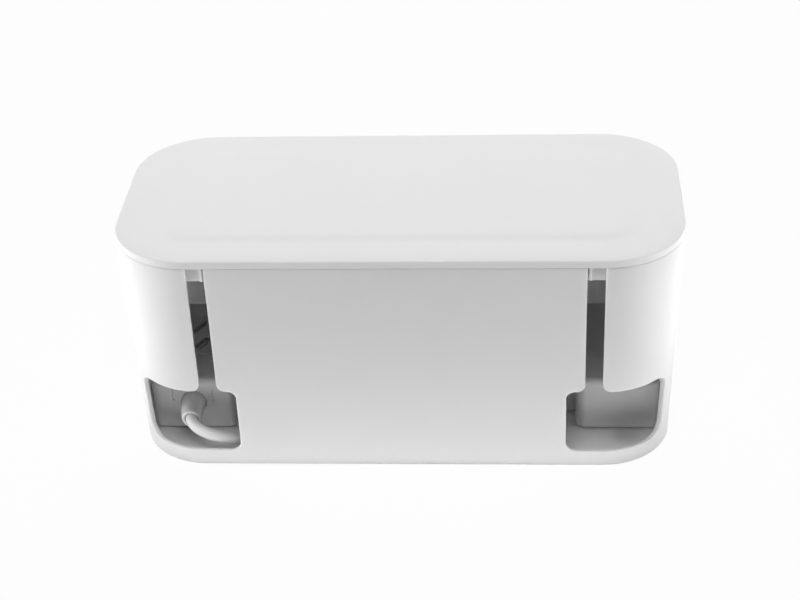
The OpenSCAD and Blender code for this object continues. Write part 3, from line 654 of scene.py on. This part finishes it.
# The body: half sizes and corner radius at its waist, and what they grow on the way to the grips
BODY_FROM, BODY_LONG, BODY_GROWS_AT = 19.4, 28.0, (19.0, 33.0)
WAIST_Y, WAIST_Z, WAIST_R = 6.4, 6.0, 5.6
GROWS_Y, GROWS_Z, GROWS_R = 6.0, 3.9, -1.6
GRIP_DEEP, GRIP_PITCH, GRIP_STARTS, GRIP_ENDS = 0.55, 2.8, (27, 30), (41, 44)
# First and last sections: (distance, half width, half height, corner radius)
PLUG_FIRST = [(0.0, 3.9, 3.9, 3.9)]
PLUG_LAST = [(47.75, 12.2, 9.7, 3.9), (48.0, 11.8, 9.3, 3.6)]


def round_loop(half_y, half_z, r):
    """A rounded rectangle round the plug's own line."""
    r = min(r, half_y - LEAST_FLAT, half_z - LEAST_FLAT)
    loop = []
    for q, (sy, sz) in enumerate([(1, 1), (-1, 1), (-1, -1), (1, -1)]):
        for k in range(PLUG_ARC_PARTS + 1):
            t = math.radians(90 * (q + k / PLUG_ARC_PARTS))
            loop.append((sy * (half_y - r) + r * math.cos(t), sz * (half_z - r) + r * math.sin(t)))
    return loop


def ripple(along, pitch):
    return 0.5 - 0.5 * math.cos(math.tau * along / pitch)


def make_plug():
    """Ribbed relief, waist and body with finger grips, from the lead to the pins' face."""
    sections = list(PLUG_FIRST)
    for k in range(41):
        along = RELIEF_FROM + RELIEF_LONG * k / 40
        r = RELIEF_R + RELIEF_GROWS * along / 20 - RIB_DEEP * ripple(along, RIB_PITCH)
        sections.append((along, r, r, r))
    for k in range(61):
        along = BODY_FROM + BODY_LONG * k / 60
        grow = soft_step(along, *BODY_GROWS_AT)
        grip = GRIP_DEEP * soft_step(along, *GRIP_STARTS) * (1 - soft_step(along, *GRIP_ENDS))
        half_y = WAIST_Y + GROWS_Y * grow - grip * ripple(along, GRIP_PITCH)
        sections.append((along, half_y, WAIST_Z + GROWS_Z * grow, WAIST_R + GROWS_R * grow))
    rings = []
    for along, half_y, half_z, r in sections + PLUG_LAST:
        loop = round_loop(half_y, half_z, r)
        rings.append([(PLUG_X - along, PLUG_Y + y, PLUG_Z + z) for y, z in loop])
    return ring_solid("plug_shell", rings, sharp=50)


# ---------- the pieces, their bodies and the solids that they dress ----------

dressed = {}


def dress(obj, body, slot_name, *nodes):
    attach(obj, body)
    if nodes:
        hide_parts(*nodes)
    dressed[obj] = slot_name
    return obj


tie = dress(make_tie_band("tie_band", 0, 360, 0, TIE_THICK), "case", "tie_fabric", "coil_tie")
tie_end = dress(make_tie_band("tie_end", END_FROM, END_TO, END_LIFT, END_THICK), "case",
                "tie_fabric")
plug = dress(make_plug(), "case", "cord_white", "plug_body")
dress(make_boot(), "case", "cord_white", "cord_boot")
dress(lead, "case", "cord_white", "lead_tube", "tail_tube", "lead_coil")
dress(make_tub(), "case", "box_white", "tub")
lid = dress(make_lid(), "lid", "box_white", "lid")
for side_name, side in (("left", -1), ("right", 1)):
    dress(make_guide_rib("guide_rib_" + side_name, side), "lid", "box_white")
for name in ("outlet_insert_1", "outlet_insert_2", "outlet_insert_3", "outlet_insert_4",
             "port_insert", "switch_housing", "switch_rocker", "plug_pins"):
    round_edges(frame["nodes"][name], SMALL_EDGE, weld=True)


# ---------- materials ----------

def new_material(name):
    mat = bpy.data.materials.new(name)
    mat.use_nodes = True
    nodes = mat.node_tree.nodes
    nodes.clear()
    return mat, nodes, mat.node_tree.links


def shaded(name, metallic=0.0, spec=0.5):
    mat, nodes, links = new_material(name)
    out = nodes.new("ShaderNodeOutputMaterial")
    bsdf = nodes.new("ShaderNodeBsdfPrincipled")
    bsdf.inputs["Metallic"].default_value = metallic
    bsdf.inputs["Specular IOR Level"].default_value = spec
    links.new(bsdf.outputs["BSDF"], out.inputs["Surface"])
    coords = nodes.new("ShaderNodeTexCoord")
    return mat, nodes, links, bsdf, coords.outputs["Object"]


def noise(nodes, links, vector, scale, detail=3.0, stretch=None):
    tex = nodes.new("ShaderNodeTexNoise")
    tex.inputs["Scale"].default_value = scale
    tex.inputs["Detail"].default_value = detail
    if stretch:
        mapping = nodes.new("ShaderNodeMapping")
        mapping.inputs["Scale"].default_value = stretch
        links.new(vector, mapping.inputs["Vector"])
        vector = mapping.outputs["Vector"]
    links.new(vector, tex.inputs["Vector"])
    return tex.outputs["Fac"]


def maths(nodes, links, operation, one, two):
    """A math node on an output and a second output or number; returns the node."""
    node = nodes.new("ShaderNodeMath")
    node.operation = operation
    links.new(one, node.inputs[0])
    if isinstance(two, float):
        node.inputs[1].default_value = two
    else:
        links.new(two, node.inputs[1])
    return node


def tint(nodes, links, factor, one, two, socket):
    tone = nodes.new("ShaderNodeMix")
    tone.data_type = "RGBA"
    tone.inputs["A"].default_value = (*one, 1)
    tone.inputs["B"].default_value = (*two, 1)
    links.new(factor, tone.inputs["Factor"])
    links.new(tone.outputs["Result"], socket)


def spread(nodes, links, factor, low, high, socket):
    span = nodes.new("ShaderNodeMapRange")
    span.inputs["To Min"].default_value = low
    span.inputs["To Max"].default_value = high
    links.new(factor, span.inputs["Value"])
    links.new(span.outputs["Result"], socket)


def bumped(nodes, links, height, strength, depth, bsdf):
    bump = nodes.new("ShaderNodeBump")
    bump.inputs["Strength"].default_value = strength
    bump.inputs["Distance"].default_value = depth * MM
    links.new(height, bump.inputs["Height"])
    links.new(bump.outputs["Normal"], bsdf.inputs["Normal"])


def plastic(name, colour, rough, bump=0.05, grain=1800.0, shade=0.02, spec=0.5, depth=0.0):
    """Moulded plastic: faint changes of tone and sheen, and a fine moulded grain. With a depth,
    in millimetres, light goes that far into it and passes through where it is thin."""
    mat, nodes, links, bsdf, vector = shaded(name, spec=spec)
    broad = noise(nodes, links, vector, 14.0, 4.0)
    dark = [c * (1 - shade) for c in colour]
    light = [min(1, c * (1 + shade)) for c in colour]
    tint(nodes, links, broad, dark, light, bsdf.inputs["Base Color"])
    spread(nodes, links, broad, rough - 0.05, rough + 0.05, bsdf.inputs["Roughness"])
    bumped(nodes, links, noise(nodes, links, vector, grain), bump, 0.2, bsdf)
    if depth:
        bsdf.inputs["Subsurface Weight"].default_value = 1.0
        bsdf.inputs["Subsurface Radius"].default_value = (1, 1, 1)
        bsdf.inputs["Subsurface Scale"].default_value = depth * MM
    return mat


def metal(name, colour, rough, stretch):
    """Drawn or stamped metal: fine lines along it and small changes of tone."""
    mat, nodes, links, bsdf, vector = shaded(name, metallic=1.0)
    lines = noise(nodes, links, vector, 900.0, 4.0, stretch)
    tint(nodes, links, lines, [c * 0.86 for c in colour], colour, bsdf.inputs["Base Color"])
    broad = noise(nodes, links, vector, 60.0)
    spread(nodes, links, broad, rough - 0.08, rough + 0.12, bsdf.inputs["Roughness"])
    bumped(nodes, links, lines, 0.15, 0.05, bsdf)
    return mat


def woven(name, colour):
    """Hook and loop tape: crossed threads and loose fluff."""
    mat, nodes, links, bsdf, vector = shaded(name, spec=0.2)
    threads = []
    for direction in ("X", "Z"):
        wave = nodes.new("ShaderNodeTexWave")
        wave.bands_direction = direction
        wave.inputs["Scale"].default_value = 320.0
        wave.inputs["Distortion"].default_value = 1.2
        links.new(vector, wave.inputs["Vector"])
        threads.append(wave.outputs["Fac"])
    cross = maths(nodes, links, "MAXIMUM", *threads).outputs[0]
    fluff = maths(nodes, links, "MULTIPLY_ADD", noise(nodes, links, vector, 1500.0), 0.6)
    links.new(cross, fluff.inputs[2])
    tint(nodes, links, cross, [c * 0.7 for c in colour], colour, bsdf.inputs["Base Color"])
    spread(nodes, links, fluff.outputs[0], 0.8, 0.95, bsdf.inputs["Roughness"])
    bumped(nodes, links, fluff.outputs[0], 0.5, 0.25, bsdf)
    return mat


BOARD_MASK, BOARD_TRACK = (0.02, 0.12, 0.05), (0.06, 0.26, 0.12)


def board_look():
    """Solder mask with paler tracks under it."""
    mat, nodes, links, bsdf, vector = shaded("board_mask")
    cells = nodes.new("ShaderNodeTexVoronoi")
    cells.feature = "DISTANCE_TO_EDGE"
    cells.inputs["Scale"].default_value = 260.0
    links.new(vector, cells.inputs["Vector"])
    tracks = maths(nodes, links, "LESS_THAN", cells.outputs["Distance"], 0.06).outputs[0]
    tint(nodes, links, tracks, BOARD_MASK, BOARD_TRACK, bsdf.inputs["Base Color"])
    broad = noise(nodes, links, vector, 80.0)
    spread(nodes, links, broad, 0.25, 0.4, bsdf.inputs["Roughness"])
    bumped(nodes, links, tracks, 0.3, 0.05, bsdf)
    return mat


def paint(obj, mat):
    obj.data.materials.clear()
    obj.data.materials.append(mat)


BOX_TONE, BOX_ROUGH, BOX_DEPTH, LID_DEPTH = (0.88, 0.88, 0.88), 0.42, 3.3, 0.7
LOOKS = {
    "box_white": plastic("box_plastic", BOX_TONE, BOX_ROUGH, depth=BOX_DEPTH),
    "strip_white": plastic("strip_plastic", (0.9, 0.9, 0.9), 0.5, 0.15, 2400.0),
    "outlet_white": plastic("outlet_plastic", (0.84, 0.84, 0.84), 0.28, 0.03, 1500.0),
    "foot_rubber": plastic("foot_rubber", (0.55, 0.55, 0.55), 0.8, 0.4, 3200.0, 0.06, 0.3),
    "rocker_grey": plastic("rocker_plastic", (0.5, 0.5, 0.51), 0.3, 0.03, 1500.0),
    "cord_white": plastic("lead_vinyl", (0.92, 0.92, 0.92), 0.35, 0.06, 1200.0),
    "tie_fabric": woven("tie_fabric", (0.55, 0.55, 0.56)),
    "contact_brass": metal("contact_brass", (0.80, 0.58, 0.26), 0.3, (0.1, 1, 1)),
    "board_green": board_look(),
    "screw_steel": metal("screw_zinc", (0.62, 0.62, 0.64), 0.35, (1, 1, 0.1)),
    "pin_steel": metal("pin_nickel", (0.72, 0.70, 0.66), 0.22, (0.1, 1, 1))}
SLOT_OF = {s["node"]: s["material_slot"] for s in frame["record"]["subparts"]}
for name, node in frame["nodes"].items():
    paint(node, LOOKS[SLOT_OF[name]])
for piece, slot_name in dressed.items():
    paint(piece, LOOKS[slot_name])
# The lid lets less light through than the tub, as its grey edge in the photo shows
paint(lid, plastic("lid_plastic", BOX_TONE, BOX_ROUGH, depth=LID_DEPTH))


# ---------- stage and light ----------

FLOOR_HALF, FLOOR_TONE, FLOOR_WHITE, WORLD_LIGHT = 6.0, 0.85, 0.96, 0.0
BOUNCE_Z = 0.0005
# (name, place, aim, size, power, whether surfaces mirror it); the bounce lamps lie on the floor
# and stand for the light that a white floor throws up
LAMPS = [
    ("key_box", (0, -0.676, 1.5), (0, 0, 0.05), (0.7, 0.7), 9.1, True),
    ("left_box", (-1.3, -0.22, 0.45), (0, 0, 0.07), (1.0, 0.9), 9.5, False),
    ("right_box", (1.3, -0.18, 0.45), (0, 0, 0.07), (1.0, 0.9), 7.5, False),
    ("back_box", (0, 1.24, 0.85), (0, 0, 0.1), (1.4, 0.8), 8.6, True),
    ("left_bounce", (-0.40, -0.05, BOUNCE_Z), (-0.40, -0.05, 1), (0.35, 0.6), 0.85, True),
    ("right_bounce", (0.40, -0.05, BOUNCE_Z), (0.40, -0.05, 1), (0.35, 0.6), 0.8, True),
    ("front_bounce", (0, -0.1238, BOUNCE_Z), (0, -0.1238, 1), (0.36, 0.102), 0.070, True)]


def make_lamp(name, place_at, aim, size, power, glare):
    data = bpy.data.lights.new(name, "AREA")
    data.shape = "RECTANGLE"
    data.size, data.size_y = size
    data.energy = power
    lamp = add_object(name, data)
    lamp.location = place_at
    lamp.rotation_euler = (Vector(aim) - Vector(place_at)).to_track_quat("-Z", "Y").to_euler()
    lamp.visible_camera = False
    lamp.visible_glossy = glare


def share_of_white(nodes, links, plain, share):
    """Mixes a shader with white that shows to the camera, in reflections and through clear
    pieces."""
    path = nodes.new("ShaderNodeLightPath")
    seen = path.outputs["Is Camera Ray"]
    for kind in ("Is Glossy Ray", "Is Transmission Ray"):
        seen = maths(nodes, links, "MAXIMUM", seen, path.outputs[kind]).outputs[0]
    part = maths(nodes, links, "MULTIPLY", seen, share)
    white = nodes.new("ShaderNodeEmission")
    white.inputs["Strength"].default_value = 1.0
    mix = nodes.new("ShaderNodeMixShader")
    links.new(part.outputs[0], mix.inputs["Fac"])
    links.new(plain, mix.inputs[1])
    links.new(white.outputs[0], mix.inputs[2])
    return mix.outputs[0]


def make_floor():
    mesh = bpy.data.meshes.new("floor")
    s = FLOOR_HALF
    mesh.from_pydata([(-s, -s, 0), (s, -s, 0), (s, s, 0), (-s, s, 0)], [], [(0, 1, 2, 3)])
    floor = add_object("floor", mesh)
    mat, nodes, links = new_material("floor")
    out = nodes.new("ShaderNodeOutputMaterial")
    diffuse = nodes.new("ShaderNodeBsdfDiffuse")
    diffuse.inputs["Color"].default_value = (FLOOR_TONE, FLOOR_TONE, FLOOR_TONE, 1)
    links.new(share_of_white(nodes, links, diffuse.outputs[0], FLOOR_WHITE), out.inputs["Surface"])
    mesh.materials.append(mat)


def make_world():
    world = bpy.data.worlds.new("world")
    scene.world = world
    world.use_nodes = True
    nodes, links = world.node_tree.nodes, world.node_tree.links
    nodes.clear()
    out = nodes.new("ShaderNodeOutputWorld")
    back = nodes.new("ShaderNodeBackground")
    back.inputs["Strength"].default_value = WORLD_LIGHT
    back.inputs["Color"].default_value = (1, 1, 1, 1)
    links.new(share_of_white(nodes, links, back.outputs[0], 1.0), out.inputs["Surface"])


make_floor()
make_world()
for lamp in LAMPS:
    make_lamp(*lamp)
